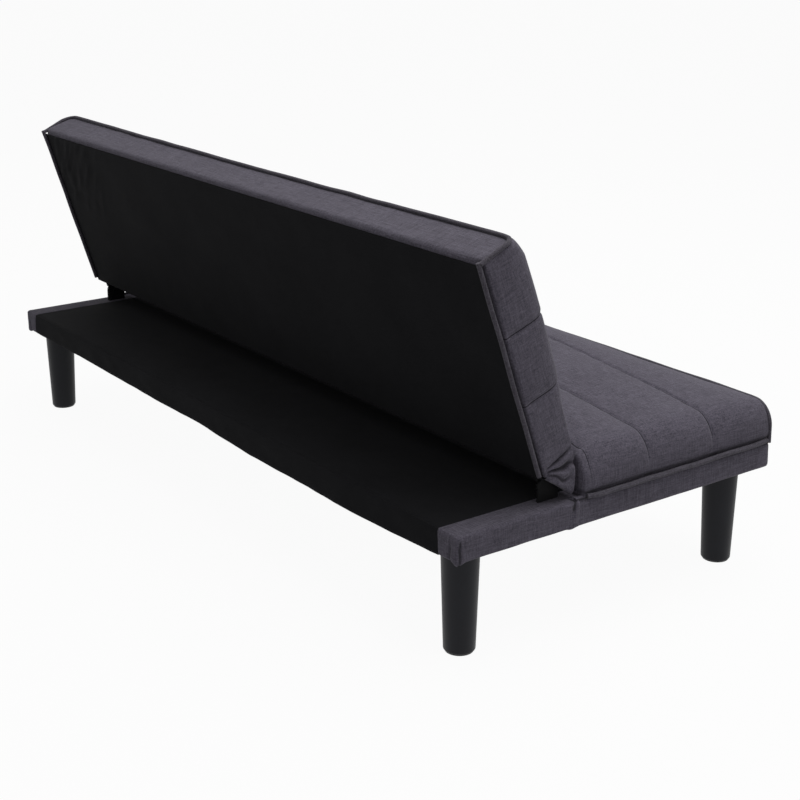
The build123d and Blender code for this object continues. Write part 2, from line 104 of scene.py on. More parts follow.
def bump(tree, shader, height, distance, strength=1.0):
    """Surface relief on a shader; a second call adds to the first."""
    node = tree.nodes.new("ShaderNodeBump")
    set_sockets(node, {"Distance": distance, "Strength": strength})
    tree.links.new(height, node.inputs["Height"])
    normal = shader.inputs["Normal"]
    if normal.is_linked:
        tree.links.new(normal.links[0].from_socket, node.inputs["Normal"])
    tree.links.new(node.outputs["Normal"], normal)


def dress(names, material):
    """Gives CAD pieces their material."""
    for name in names:
        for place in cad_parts[name].material_slots:
            place.material = material


def pine(name, grain):
    """Planed softwood with its grain along one axis."""
    material, tree, shader, place = blank_material(name, 0.62)
    rings = texture(tree, stretched(tree, place, grain), Scale=2.6, Detail=7.0, Roughness=0.62)
    paint(tree, shader, rings, [(0.30, (0.44, 0.27, 0.12)), (0.48, (0.62, 0.43, 0.23)),
                                (0.62, (0.70, 0.52, 0.31)), (0.8, (0.55, 0.36, 0.17))])
    bump(tree, shader, rings, 0.0004)
    return material


wood_grain = {"lengthwise": (3.0, 55.0, 55.0), "crosswise": (55.0, 3.0, 55.0), "upright": (55.0, 9.0, 4.0)}
wood_nodes = {
    "lengthwise": ["front_rail", "rear_rail", "middle_rail", "slat_ledgers",
                   "back_top_rail", "back_bottom_rail"],
    "crosswise": ["end_rail_left", "end_rail_right", "cross_bearers", "deck_slats", "corner_blocks"],
    "upright": ["back_stile_left", "back_stile_right", "back_middle_stiles"],
}
for grain, names in wood_nodes.items():
    dress(names, pine(f"pine_{grain}", wood_grain[grain]))


# Click-clack hinges: stamped steel arms, pawls and rivets, black coated and rubbed at
# the bearing faces, with zinc plated screws, leg bolts and plate nuts.
def coated_steel():
    material, tree, shader, place = blank_material("black_coated_steel", 0.6)
    wear = texture(tree, place, Scale=70.0, Detail=6.0, Roughness=0.7)
    paint(tree, shader, wear, [
        (0.0, (0.005, 0.005, 0.0055)), (0.66, (0.007, 0.007, 0.0075)), (0.80, (0.02, 0.02, 0.02))])
    shader.inputs["Specular IOR Level"].default_value = 0.08
    grit = texture(tree, place, Scale=900.0, Detail=2.0)
    bump(tree, shader, grit, 0.0002)
    return material


def zinc_plate():
    material, tree, shader, place = blank_material("zinc_plate", 0.34)
    shader.inputs["Metallic"].default_value = 1.0
    cloud = texture(tree, place, Scale=160.0, Detail=4.0)
    paint(tree, shader, cloud, [(0.3, (0.42, 0.42, 0.40)), (0.7, (0.66, 0.66, 0.62))])
    bump(tree, shader, cloud, 0.0002)
    return material


def cover(piece, material):
    """Gives a new piece its one material."""
    piece.data.materials.clear()
    piece.data.materials.append(material)


sides = (("left", -1), ("right", 1))
steel = coated_steel()
hinge_parts = ("base_arm", "back_arm", "pawl")
dress([f"hinge_{part}_{side}" for part in hinge_parts for side, _ in sides], steel)
dress(["hinge_rivets"], steel)
dress(["base_arm_screws", "back_arm_screws", "leg_bolts", "plate_nuts"], zinc_plate())

# Each pawl is an eye on the base arm and a sprung leaf, which on the real sofa dips under the teeth
# as the back turns; here the two are cut apart at the fold. It stands a hair off the arm, and its
# tip is drawn back from the tooth root.
pawl_fold = Vector((0.0, 0.196, 0.214))
pawl_tip_start = 0.228
pawl_tip_run = 0.018
pawl_off_arm = 0.0001
for side, sign in sides:
    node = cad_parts[f"hinge_pawl_{side}"]
    for part, cut_from in (("eye", -1), ("leaf", 1)):
        mesh = bmesh.new()
        mesh.from_mesh(node.data)
        mesh.transform(node.matrix_world)
        bmesh.ops.remove_doubles(mesh, verts=mesh.verts, dist=1e-6)
        cut = bmesh.ops.bisect_plane(mesh, geom=[*mesh.verts, *mesh.edges, *mesh.faces], plane_co=pawl_fold,
                                     plane_no=(0, cut_from, 0), clear_outer=True)
        bmesh.ops.holes_fill(mesh, edges=[e for e in cut["geom_cut"] if isinstance(e, bmesh.types.BMEdge)])
        bmesh.ops.recalc_face_normals(mesh, faces=mesh.faces)
        for corner in mesh.verts:
            near_tip = min(max((corner.co.z - pawl_tip_start) / pawl_tip_run, 0.0), 1.0)
            corner.co += Vector((-sign * pawl_off_arm, 0.0011 * near_tip, -0.0016 * near_tip))
        pawl = bpy.data.objects.new(f"pawl_{part}_{side}", bpy.data.meshes.new(f"pawl_{part}_{side}"))
        mesh.to_mesh(pawl.data)
        mesh.free()
        bpy.context.scene.collection.objects.link(pawl)
        cover(pawl, steel)
        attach(pawl, "base")
        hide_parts(node.name)
        if part == "leaf":
            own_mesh(pawl)


# Four legs: hollow tapered mouldings in satin black plastic with a softly rounded foot,
# screwed up into the corner blocks, each on a thin nylon glide.
def only(piece):
    """Selects one piece and nothing else."""
    bpy.ops.object.select_all(action="DESELECT")
    piece.select_set(True)
    bpy.context.view_layer.objects.active = piece


def select_in_edit(piece, kind, test):
    """Opens edit mode and selects the faces, edges or corners that pass a test on their middle."""
    only(piece)
    bpy.ops.object.mode_set(mode="EDIT")
    bpy.ops.mesh.select_mode(type=kind)
    bpy.ops.mesh.select_all(action="DESELECT")
    mesh = bmesh.from_edit_mesh(piece.data)
    parts = {"VERT": mesh.verts, "EDGE": mesh.edges, "FACE": mesh.faces}[kind]
    for part in parts:
        if test(part):
            part.select_set(True)
    bmesh.update_edit_mesh(piece.data)


def leave_edit():
    bpy.ops.object.mode_set(mode="OBJECT")


def mapped(tree, source, **ranges):
    """A value carried from one range to another."""
    node = tree.nodes.new("ShaderNodeMapRange")
    set_sockets(node, ranges)
    tree.links.new(source, node.inputs["Value"])
    return node.outputs["Result"]


def satin_moulding():
    material, tree, shader, place = blank_material("satin_black_moulding", 0.4)
    cloud = texture(tree, place, Scale=45.0, Detail=5.0, Roughness=0.6)
    paint(tree, shader, cloud, [(0.3, (0.0058, 0.0062, 0.0088)), (0.75, (0.0086, 0.0090, 0.0124))])
    shader.inputs["Specular IOR Level"].default_value = 0.19
    tree.links.new(mapped(tree, cloud, To_Min=0.36, To_Max=0.5), shader.inputs["Roughness"])
    grain = texture(tree, place, Scale=1400.0, Detail=2.0)
    bump(tree, shader, grain, 0.00012)
    return material


def scuffed_nylon():
    material, tree, shader, place = blank_material("glide_nylon", 0.55)
    scuff = texture(tree, place, Scale=220.0, Detail=5.0)
    paint(tree, shader, scuff, [(0.35, (0.012, 0.012, 0.012)), (0.75, (0.035, 0.035, 0.034))])
    bump(tree, shader, scuff, 0.0002)
    return material


leg_low, leg_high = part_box("legs")
leg_top_radius = 0.0335
leg_foot_radius = 0.0275
leg_foot_round = 0.0042
leg_height = leg_high[2] - leg_low[2]
leg_x = leg_high[0] - leg_top_radius
leg_middle = leg_low[2] + leg_height / 2
leg_plastic = satin_moulding()
bpy.ops.object.select_all(action="DESELECT")
bpy.ops.mesh.primitive_cylinder_add(vertices=72, radius=leg_top_radius, depth=leg_height,
                                    location=(0, 0, leg_middle))
leg_pattern = bpy.context.object
leg_pattern.name = "leg_rear_left"
bpy.ops.object.transform_apply(location=True, rotation=True, scale=True)
select_in_edit(leg_pattern, "VERT", lambda v: v.co.z < leg_middle)
leg_taper = leg_foot_radius / leg_top_radius
bpy.ops.transform.resize(value=(leg_taper, leg_taper, 1))
leave_edit()
select_in_edit(leg_pattern, "FACE", lambda f: f.normal.z < -0.9)
bpy.ops.mesh.inset(thickness=0.0055)
bpy.ops.mesh.inset(thickness=0.004)
bpy.ops.transform.translate(value=(0, 0, 0.0006))
leave_edit()
select_in_edit(leg_pattern, "EDGE", lambda e: len(e.link_faces) == 2 and e.calc_face_angle() > 1.2)
bpy.ops.mesh.bevel(offset=leg_foot_round, segments=6, profile=0.55)
leave_edit()
only(leg_pattern)
bpy.ops.object.shade_smooth_by_angle(angle=radians(40))
leg_places = {
    "rear_left": (-leg_x, leg_high[1] - leg_top_radius),
    "rear_right": (leg_x, leg_high[1] - leg_top_radius),
    "front_left": (-leg_x, leg_low[1] + leg_top_radius),
    "front_right": (leg_x, leg_low[1] + leg_top_radius),
}
for name in list(leg_places)[1:]:
    copy = leg_pattern.copy()
    copy.data = leg_pattern.data.copy()
    copy.name = f"leg_{name}"
    bpy.context.scene.collection.objects.link(copy)
for name, (x, y) in leg_places.items():
    leg = bpy.data.objects[f"leg_{name}"]
    leg.location = (x, y, 0)
    only(leg)
    bpy.ops.object.transform_apply(location=True, rotation=True, scale=True)
    cover(leg, leg_plastic)
    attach(leg, "base")
    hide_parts("legs")

dress(["leg_glides"], scuffed_nylon())


# Black lining of the base: matt non-woven cloth stapled under the frame as a dust cover,
# and another length over the slats of the deck, down the rear face and under its edge.
def coords(piece):
    """All corners of a mesh as one array."""
    flat = np.empty(len(piece.data.vertices) * 3)
    piece.data.vertices.foreach_get("co", flat)
    return flat.reshape(-1, 3)


def set_coords(piece, points):
    piece.data.vertices.foreach_set("co", np.ascontiguousarray(points).ravel())
    piece.data.update()


def ripple(points, size, seed):
    """Soft irregular waves, one value for each point, between about -1 and 1."""
    shift = Vector((seed * 13.7, seed * 5.3, seed * 9.1))
    return np.array([noise.noise(Vector(p) / size + shift) for p in points])


def grow(distance, width):
    """Rises evenly from none to one over a width."""
    return np.clip(distance / width, 0, 1)


def finish_mesh(piece, modifier, **values):
    """Adds a modifier with its values and applies it."""
    step = piece.modifiers.new(modifier.lower(), modifier)
    for name, value in values.items():
        setattr(step, name, value)
    only(piece)
    bpy.ops.object.modifier_apply(modifier=step.name)


def flat_grid(name, across, along):
    """A flat grid of one unit each way, which takes its shape afterwards; returns it with its u and v."""
    bpy.ops.object.select_all(action="DESELECT")
    bpy.ops.mesh.primitive_grid_add(x_subdivisions=across, y_subdivisions=along, size=1, location=(0, 0, 0))
    piece = bpy.context.object
    piece.name = name
    points = coords(piece)
    return piece, points[:, 0] + 0.5, points[:, 1] + 0.5


def thicken(piece, thickness):
    """Gives a sheet its thickness, half to each side, and keeps its cut edges sharp."""
    finish_mesh(piece, "SOLIDIFY", thickness=thickness, offset=0.0)
    bpy.ops.object.shade_smooth_by_angle(angle=radians(50))


def non_woven(name, colour_low, colour_high):
    """Matt spun-bonded cloth: fine dimples and loose fibres."""
    material, tree, shader, place = blank_material(name, 0.93)
    cloud = texture(tree, place, Scale=7.0, Detail=8.0, Roughness=0.72)
    paint(tree, shader, cloud, [(0.32, colour_low), (0.70, colour_high)])
    set_sockets(shader, {"Specular IOR Level": 0.08, "Sheen Weight": 0.012, "Sheen Roughness": 0.6})
    dots = texture(tree, place, "Voronoi", "Distance", Scale=620.0, Randomness=0.25)
    bump(tree, shader, dots, 0.0005, 0.5)
    fibre = texture(tree, place, Scale=420.0, Detail=4.0, Distortion=1.4)
    bump(tree, shader, fibre, 0.0005, 0.4)
    return material


lining_black = non_woven("black_lining", (0.0034, 0.0034, 0.0043), (0.0070, 0.0070, 0.0082))
lining_thickness = 0.0012

under_low, under_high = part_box("dust_cover")
under, u, v = flat_grid("under_lining", 110, 48)
x = under_low[0] + u * (under_high[0] - under_low[0])
y = under_low[1] + v * (under_high[1] - under_low[1])
hang = np.sin(pi * u) ** 0.5 * np.sin(pi * v) ** 0.7
flat_points = np.stack([x, y, np.zeros_like(x)], axis=1)
z = under_low[2] + lining_thickness / 2 - 0.009 * hang * (1 + 0.4 * ripple(flat_points, 0.16, 1))
set_coords(under, np.stack([x, y, z], axis=1))
leg_room = leg_top_radius + 0.002
select_in_edit(under, "FACE", lambda f: any(
    abs(f.calc_center_median().x - px) < leg_room and abs(f.calc_center_median().y - py) < leg_room
    for px, py in leg_places.values()))
bpy.ops.mesh.delete(type="FACE")
leave_edit()
thicken(under, lining_thickness)
cover(under, lining_black)
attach(under, "base")
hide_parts("dust_cover")

deck_low, deck_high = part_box("deck_cloth")
rear_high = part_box("rear_cloth")[1]
deck_fold = 0.002
deck_front = 0.084
deck_run = deck_high[1] - deck_front - deck_fold
deck_turn = deck_fold * pi / 2
rear_drop = 0.042
rear_tuck = 0.014
deck_length = deck_run + deck_turn + rear_drop + rear_tuck
deck, u, v = flat_grid("deck_lining", 240, 84)
x = deck_low[0] + u * (deck_high[0] - deck_low[0])
run = v * deck_length
mid_z = deck_high[2] - 0.0002
mid_y = rear_high[1] + 0.0004
turn_y = mid_y - deck_fold
turn_z = mid_z - deck_fold
angle = np.clip((run - deck_run) / deck_fold, 0, pi / 2)
fall = np.clip(run - deck_run - deck_turn, 0, rear_drop)
tuck = np.clip(run - deck_run - deck_turn - rear_drop, 0, rear_tuck)
y = np.where(run < deck_run, deck_front + run, turn_y + deck_fold * np.sin(angle)) - tuck
z = np.where(run < deck_run, mid_z, turn_z + deck_fold * np.cos(angle)) - fall
sag_x = [-0.80, -0.77, -0.66, -0.55, -0.35, -0.20, -0.08, 0.0, 0.2, 0.45, 0.80]
sag_z = [0.001, 0.003, 0.008, 0.011, 0.010, 0.011, 0.006, 0.003, 0.004, 0.001, 0.001]
z -= np.interp(x, sag_x, sag_z) * grow(fall, rear_drop) ** 1.5
flat_points = np.stack([x, run, np.zeros_like(x)], axis=1)
slow = ripple(flat_points, 0.13, 2)
fine = ripple(flat_points * np.array([1.0, 2.2, 1.0]), 0.045, 3)
free = grow(run - 0.03, 0.05) * grow(deck_run - run, 0.05)
on_deck = run < deck_run
z += np.where(on_deck, np.clip(free * (0.0002 + 0.0006 * slow + 0.0003 * fine), 0, 0.0004), 0)
z += 0.0012 * grow(0.116 - y, 0.006)
y += np.where(on_deck, 0, np.maximum(0.0009 + 0.0016 * slow + 0.0012 * fine, 0.0002) * grow(fall, 0.012))
set_coords(deck, np.stack([x, y, z], axis=1))
thicken(deck, lining_thickness)
cover(deck, lining_black)
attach(deck, "base")
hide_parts("deck_cloth", "rear_cloth")


# Fabric of the base: charcoal linen-look cloth, a border stapled under the seat round the
# front and the ends, and a padded wrap drawn over each end of the deck behind it.
def feed(tree, socket, value):
    """Links a socket to another one, or sets it to a plain value."""
    if isinstance(value, (float, tuple)):
        socket.default_value = value
    else:
        tree.links.new(value, socket)


def calculated(tree, operation, *values):
    """One step of arithmetic on sockets and plain numbers."""
    node = tree.nodes.new("ShaderNodeMath")
    node.operation = operation
    for socket, value in zip(node.inputs, values):
        feed(tree, socket, value)
    return node.outputs["Value"]


def joined(tree, operation, sources):
    """Several values taken together by one operation."""
    whole = sources[0]
    for source in sources[1:]:
        whole = calculated(tree, operation, whole, source)
    return whole


def blended(tree, factor, colour, other, kind="MIX"):
    """Two colours mixed by a factor."""
    node = tree.nodes.new("ShaderNodeMix")
    node.data_type = "RGBA"
    node.blend_type = kind
    for name, value in (("Factor", factor), ("A", colour), ("B", other)):
        feed(tree, node.inputs[name], value)
    return node.outputs["Result"]


def linen_look(name, low, high, lean=0.0, pivot=(0.0, 0.0, 0.0), seam_axis=None, seams=(), fade=None,
               drop=None):
    """Heathered charcoal cloth with crossing slub threads, and thin sewn lines on given planes."""
    material, tree, shader, place = blank_material(name, 0.88)
    upright = tree.nodes.new("ShaderNodeMapping")
    upright.vector_type = "TEXTURE"
    set_sockets(upright, {"Location": pivot, "Rotation": (-lean, 0, 0)})
    tree.links.new(place, upright.inputs["Vector"])
    place = upright.outputs["Vector"]

    def yarns(*runs):
        return [texture(tree, stretched(tree, place, run), Scale=1.0, Detail=2.0) for run in runs]

    def dark(share):
        return (low[0] * share, low[1] * share, low[2] * share, 1.0)

    threads = joined(tree, "MAXIMUM", yarns((70, 1300, 1300), (1300, 90, 1300), (1300, 1300, 80)))
    slubs = joined(tree, "ADD", yarns((26, 430, 430), (430, 30, 430), (430, 430, 28)))
    heather = calculated(tree, "MULTIPLY_ADD", slubs, 0.42, threads)
    colour = ramp(tree, mapped(tree, heather, From_Min=0.98, From_Max=1.42), [(0.0, low), (1.0, high)])
    cloud = texture(tree, place, Scale=9.0, Detail=5.0, Roughness=0.6)
    colour = blended(tree, 1.0, colour, mapped(tree, cloud, To_Min=0.86, To_Max=1.12), "MULTIPLY")
    # Painted shade: the crease attribute darkens the cloth in folds and along cords, where shade falls.
    painted_crease_shade = tree.nodes.new("ShaderNodeAttribute")
    painted_crease_shade.attribute_name = "crease"
    colour = blended(tree, painted_crease_shade.outputs["Fac"], colour, dark(0.12))
    bump(tree, shader, threads, 0.0006, 0.7)
    if seam_axis is not None:
        split = tree.nodes.new("ShaderNodeSeparateXYZ")
        tree.links.new(place, split.inputs["Vector"])
        level = split.outputs[seam_axis]
        if drop is not None:
            outward = calculated(tree, "ABSOLUTE", split.outputs["X"])
            sag = mapped(tree, outward, From_Min=drop[0], From_Max=drop[1], To_Max=drop[2])
            sag.node.interpolation_type = "SMOOTHSTEP"
            level = calculated(tree, "ADD", level, sag)
        lines = joined(tree, "MAXIMUM", [calculated(tree, "COMPARE", level, seam, 0.0009) for seam in seams])
        if fade is not None:
            shown = mapped(tree, split.outputs["Z"], From_Min=fade[0], From_Max=fade[1])
            lines = calculated(tree, "MULTIPLY", lines, shown)
        colour = blended(tree, lines, colour, dark(0.35))
    tree.links.new(colour, shader.inputs["Base Color"])
    set_sockets(shader, {"Specular IOR Level": 0.2, "Sheen Weight": 0.06, "Sheen Roughness": 0.5})
    return material


def bell(distance, width):
    """A smooth hump of height one, of a given half width."""
    return np.exp(-(distance / width) ** 2)


def set_crease(piece, depth):
    """Keeps how deep in a fold each corner lies, for the painted shade line along it."""
    mark = piece.data.attributes.new("crease", "FLOAT", "POINT")
    mark.data.foreach_set("value", np.clip(depth, 0, 1).astype(np.float32))


cloth_low = (0.032, 0.0285, 0.040)
cloth_high = (0.114, 0.1035, 0.133)
base_cloth = linen_look("charcoal_base_cloth", cloth_low, cloth_high)
border_low, border_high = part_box("seat_border")
fabric_thickness = 0.002
border_corner = 0.009
border_edge = 0.006
border_return = 0.018
border_proud = 0.0024
border_ledge = 0.007
border, u, v = flat_grid("seat_border_band", 420, 30)
side_run = border_high[1] - border_low[1] - border_corner
corner_run = border_corner * pi / 2
front_run = border_high[0] - border_low[0] - 2 * border_corner
whole_run = 2 * side_run + 2 * corner_run + front_run
along = (u - 0.5) * whole_run
sign = np.sign(along)
far = np.abs(along)
bend = np.clip((far - front_run / 2) / border_corner, 0, pi / 2)
back_run = np.clip(far - front_run / 2 - corner_run, 0, None)
out_x = sign * np.sin(bend)
out_y = -np.cos(bend)
core_x = sign * np.minimum(far, front_run / 2)
core_y = border_low[1] + border_corner + back_run
border_top = border_high[2] + 0.004
face_height = border_top - border_low[2] - border_edge
band_run = border_ledge + face_height + border_edge * pi / 2 + border_return
down = v * band_run - border_ledge
edge_turn = np.clip((down - face_height) / border_edge, 0, pi / 2)
under_run = np.clip(down - face_height - border_edge * pi / 2, 0, None)
flat_points = np.stack([along, down, np.zeros_like(along)], axis=1)
wave = 0.0011 * ripple(flat_points, 0.11, 4) + 0.0006 * ripple(flat_points, 0.035, 5)
depth = border_corner - fabric_thickness / 2 - border_edge * (1 - np.cos(edge_turn)) - under_run
depth += border_proud + wave
depth += np.minimum(down, 0) - 0.0025 * bell(np.maximum(down, 0) - 0.002, 0.006)
z = border_top - np.clip(down, 0, face_height) - border_edge * np.sin(edge_turn) - 0.001 * np.sin(edge_turn)
z += 0.0008 * ripple(flat_points, 0.15, 6) * np.sin(edge_turn)
set_coords(border, np.stack([core_x + out_x * depth, core_y + out_y * depth, z], axis=1))
thicken(border, fabric_thickness)
# Painted shadow: a dark line along the top of the border, under the foot piping.
set_crease(border, 0.9 * bell(coords(border)[:, 2] - border_top + 0.0035, 0.0030))
cover(border, base_cloth)
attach(border, "base")
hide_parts("seat_border")


def block(name, low, high):
    """A box between two corners, to be shaped."""
    bpy.ops.object.select_all(action="DESELECT")
    middle = [(a + b) / 2 for a, b in zip(low, high)]
    bpy.ops.mesh.primitive_cube_add(size=1, location=middle)
    piece = bpy.context.object
    piece.name = name
    piece.scale = [b - a for a, b in zip(low, high)]
    bpy.ops.object.transform_apply(location=True, rotation=True, scale=True)
    return piece


def round_edges(piece, width, segments, test):
    """Bevels the edges whose middle and direction pass a test."""
    select_in_edit(piece, "EDGE", lambda e: test((e.verts[0].co + e.verts[1].co) / 2,
                                                 (e.verts[1].co - e.verts[0].co).normalized()))
    bpy.ops.mesh.bevel(offset=width, segments=segments, profile=0.5)
    leave_edit()


def even_mesh(piece, size):
    """Even small faces all over, as cloth is cut fine enough to wrinkle."""
    finish_mesh(piece, "REMESH", mode="VOXEL", voxel_size=size, use_smooth_shade=True)


def push_out(piece, amount):
    """Moves each corner along its normal by its own amount."""
    flat = np.empty(len(piece.data.vertices) * 3)
    piece.data.vertices.foreach_get("normal", flat)
    set_coords(piece, coords(piece) + flat.reshape(-1, 3) * np.asarray(amount)[:, None])


wrap_proud = 0.0020
wrap_under_seat = 0.032
wrap_side_round = 0.0055
wrap_rear_round = 0.007
for side, sign in sides:
    low, high = [list(corner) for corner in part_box(f"end_wrap_{side}")]
    outer_x = (high[0] if sign > 0 else low[0]) + sign * wrap_proud
    inner_x = (low[0] if sign > 0 else high[0]) - sign * 0.003
    rear = high[1] + wrap_proud
    wrap = block(f"deck_end_{side}", (min(inner_x, outer_x), low[1] - wrap_under_seat, low[2] - wrap_proud),
                 (max(inner_x, outer_x), rear, high[2] + 0.0003))
    round_edges(wrap, wrap_side_round, 4, lambda m, d: abs(d.y) > 0.9 and abs(m.x - outer_x) < 0.001)
    round_edges(wrap, wrap_rear_round, 4, lambda m, d: abs(m.y - rear) < 0.001 and abs(d.y) < 0.5)
    even_mesh(wrap, 0.0025)
    points = coords(wrap)
    x, y, z = points.T
    from_side = np.abs(x - outer_x)
    top_down = high[2] - z
    wrinkle = 0.0012 * ripple(points, 0.06, 7 + sign)
    wrinkle += 0.0007 * ripple(points * np.array([1, 0.6, 1.8]), 0.025, 9)
    wrinkle *= grow(top_down, 0.006)
    slit = y - low[1] - 0.003 - 0.35 * top_down + 0.003 * ripple(points, 0.012, 15)
    pleat = bell(slit, 0.0028) * grow(0.020 - top_down, 0.006) * grow(0.020 - from_side, 0.006)
    fold = bell(slit + 0.010, 0.007) * grow(0.010 - from_side, 0.006)
    tab = bell(y - rear + 0.0075 + 0.0015 * ripple(points, 0.012, 16), 0.0026)
    tab *= grow(0.008 - from_side, 0.003) * grow(top_down - 0.006, 0.006)
    tuck = bell(from_side - 0.015 - 0.15 * top_down, 0.003) * grow(y - rear + 0.006, 0.003)
    tuck *= grow(top_down - 0.012, 0.012)
    # Painted shade in the pleat slit, the corner tab and the tuck folds.
    set_crease(wrap, pleat + 0.9 * tab + 0.6 * tuck)
    push_out(wrap, 0.7 * wrinkle - 0.0015 * pleat + 0.0018 * fold - 0.0024 * tab - 0.0020 * tuck)
    points = coords(wrap)
    x, y, z = points.T
    hanging = grow(y - rear + 0.020, 0.012) * grow(0.018 - np.abs(x - outer_x), 0.010)
    points[:, 2] -= 0.0045 * hanging * grow(low[2] + 0.020 - z, 0.020)
    under_seat = grow(low[1] - 0.005 - y, 0.003)
    points[:, 0] -= sign * 0.004 * under_seat * np.clip(1 - np.abs(x - outer_x) / 0.012, 0, 1)
    set_coords(wrap, points)
    only(wrap)
    bpy.ops.object.shade_smooth()
    cover(wrap, base_cloth)
    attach(wrap, "base")
    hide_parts(f"end_wrap_{side}")


# Seat: foam on elastic webbing in a quilted charcoal cover, sewn in three lengthwise
# channels, drawn over the ends and stapled under the rail; piping round the front panel.
def ribbed_webbing():
    material, tree, shader, place = blank_material("elastic_webbing", 0.8)
    ribs = texture(tree, stretched(tree, place, (420, 420, 420)), Scale=1.0, Detail=2.0)
    paint(tree, shader, ribs, [(0.35, (0.10, 0.068, 0.04)), (0.7, (0.21, 0.15, 0.09))])
    bump(tree, shader, ribs, 0.0006)
    return material


dress(["seat_webbing", "back_webbing"], ribbed_webbing())


swell_frames = 20


def swell(piece, held, cap):
    """Lets a cover swell from its stuffing, with its sewn and stapled points held still."""
    start = coords(piece)
    group = piece.vertex_groups.new(name="sewn")
    group.add([int(i) for i in np.nonzero(held)[0]], 1.0, "REPLACE")
    stuffing = piece.modifiers.new("stuffing", "CLOTH")
    settings = stuffing.settings
    settings.vertex_group_mass = group.name
    settings.quality = 5
    settings.mass = 0.3
    settings.tension_stiffness = 12
    settings.compression_stiffness = 12
    settings.shear_stiffness = 5
    settings.bending_stiffness = 0.4
    settings.use_pressure = True
    settings.uniform_pressure_force = 4
    settings.effector_weights.gravity = 0
    stuffing.collision_settings.use_collision = False
    for step in range(1, swell_frames + 1):
        bpy.context.scene.frame_set(step)
    only(piece)
    bpy.ops.object.modifier_apply(modifier=stuffing.name)
    bpy.context.scene.frame_set(1)
    moved = coords(piece) - start
    length = np.maximum(np.linalg.norm(moved, axis=1), 1e-9)
    set_coords(piece, start + moved * (np.minimum(length, cap) / length)[:, None])
    piece.vertex_groups.clear()


def soften(share):
    """Eases a share in and out."""
    return share * share * (3 - 2 * share)


def between_seams(level, stops):
    """How far a quilted cover stands out: one midway between sewn lines, none at them."""
    fullness = np.zeros_like(level)
    for a, b in zip(stops, stops[1:]):
        inside = (level >= a) & (level <= b)
        fullness[inside] = 1 - ((level[inside] - (a + b) / 2) / ((b - a) / 2)) ** 2
    return fullness


def refine(piece, test):
    """Cuts the faces whose middle passes a test finer, for sewn lines and small folds."""
    select_in_edit(piece, "FACE", lambda f: test(f.calc_center_median()))
    bpy.ops.mesh.subdivide(number_cuts=2)
    leave_edit()


def from_seam(level, seams):
    """Distance of each corner from the nearest sewn line."""
    return np.min([np.abs(level - seam) for seam in seams], axis=0)


seat_low, seat_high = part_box("seat_cover")
seat_front = seat_low[1] + 0.004
seat_rear = seat_high[1]
seat_base = seat_low[2]
seat_half = seat_high[0]
seat_edge = seat_base + 0.079
seat_seams = (-0.2141, -0.0541)
seat_band = 0.082
seat_crown = 0.0575
seat_crown_flat = 0.043
seam_sink_width = 0.0032
seam_reach = 0.010
seat_end_round = 0.046
seat_rear_round = 0.030
seat = block("seat_cushion", (-seat_half, seat_front - 0.003, seat_base + 0.0005),
             (seat_half, seat_rear - 0.001, seat_edge + 0.001))
round_edges(seat, seat_end_round, 8, lambda m, d: abs(d.y) > 0.9 and m.z > seat_edge - 0.01)
round_edges(seat, seat_rear_round, 6, lambda m, d: (
    abs(m.y - seat_rear) < 0.002 and m.z > seat_edge - 0.01 and abs(d.x) > 0.9))
even_mesh(seat, 0.006)
points = coords(seat)
x, y, z = points.T.copy()
height = grow(z - seat_base, seat_edge - seat_base)
arch = seat_crown * (1 - (x / 0.84) ** 2)
crown = np.minimum(arch, seat_crown_flat + 0.1 * arch)
front_ease = soften(grow(y - seat_front, 0.150))
rear_ease = 1 - 0.30 * grow(y - 0.03, 0.07) ** 2
fullness = between_seams(y, (seat_front, *seat_seams, seat_rear - 0.02))
z += height * (crown * front_ease * rear_ease + 0.006 * fullness)
at_end = grow(np.abs(x) - seat_half + 0.045, 0.045)
x -= np.sign(x) * at_end * 0.0045 * (1 - fullness) * np.clip(height * 1.6, 0, 1)
set_coords(seat, np.stack([x, y, z], axis=1))
seam_gap = from_seam(y, seat_seams)
held = (z < seat_base + 0.007) | (seam_gap < 0.004) | (y > seat_rear - 0.004)
held |= (bell(y - seat_front, 0.012) > 0.5) | (np.abs(x) > 0.80) & (y > 0.055)
swell(seat, held, 0.007)
points = coords(seat)
x, y, z = points.T
seam_gap = from_seam(y, seat_seams)
upper = grow(z - seat_base - 0.012, 0.03)
pucker = 0.0009 * ripple(points * np.array([3.0, 1.0, 1.0]), 0.05, 11) * bell(seam_gap, 0.030)
drawn = 0.0008 * ripple(points, 0.09, 12) + 0.0003 * ripple(points, 0.03, 13)
tight = 0.0012 * np.sin(x * 260 + 4 * ripple(points, 0.08, 14)) * bell(y - 0.085, 0.035)
push_out(seat, upper * (pucker + drawn + tight * np.clip(np.abs(x) / 0.7 - 0.2, 0.15, 1)))
refine(seat, lambda m: m.z > seat_base + 0.008 and min(
    abs(m.y - seam) for seam in (*seat_seams, seat_band)) < seam_reach)
points = coords(seat)
x, y, z = points.T
seam_gap = from_seam(y, seat_seams)
upper = grow(z - seat_base - 0.02, 0.04)
push_out(seat, -upper * (0.0026 * bell(seam_gap, seam_sink_width) + 0.0010 * bell(y - seat_band, 0.003)))
points = coords(seat)
at_end = grow(np.abs(points[:, 0]) - seat_half + 0.03, 0.02)
points[:, 0] -= np.sign(points[:, 0]) * at_end * 0.0055 * bell(points[:, 2] - seat_base - 0.004, 0.012)
set_coords(seat, points)
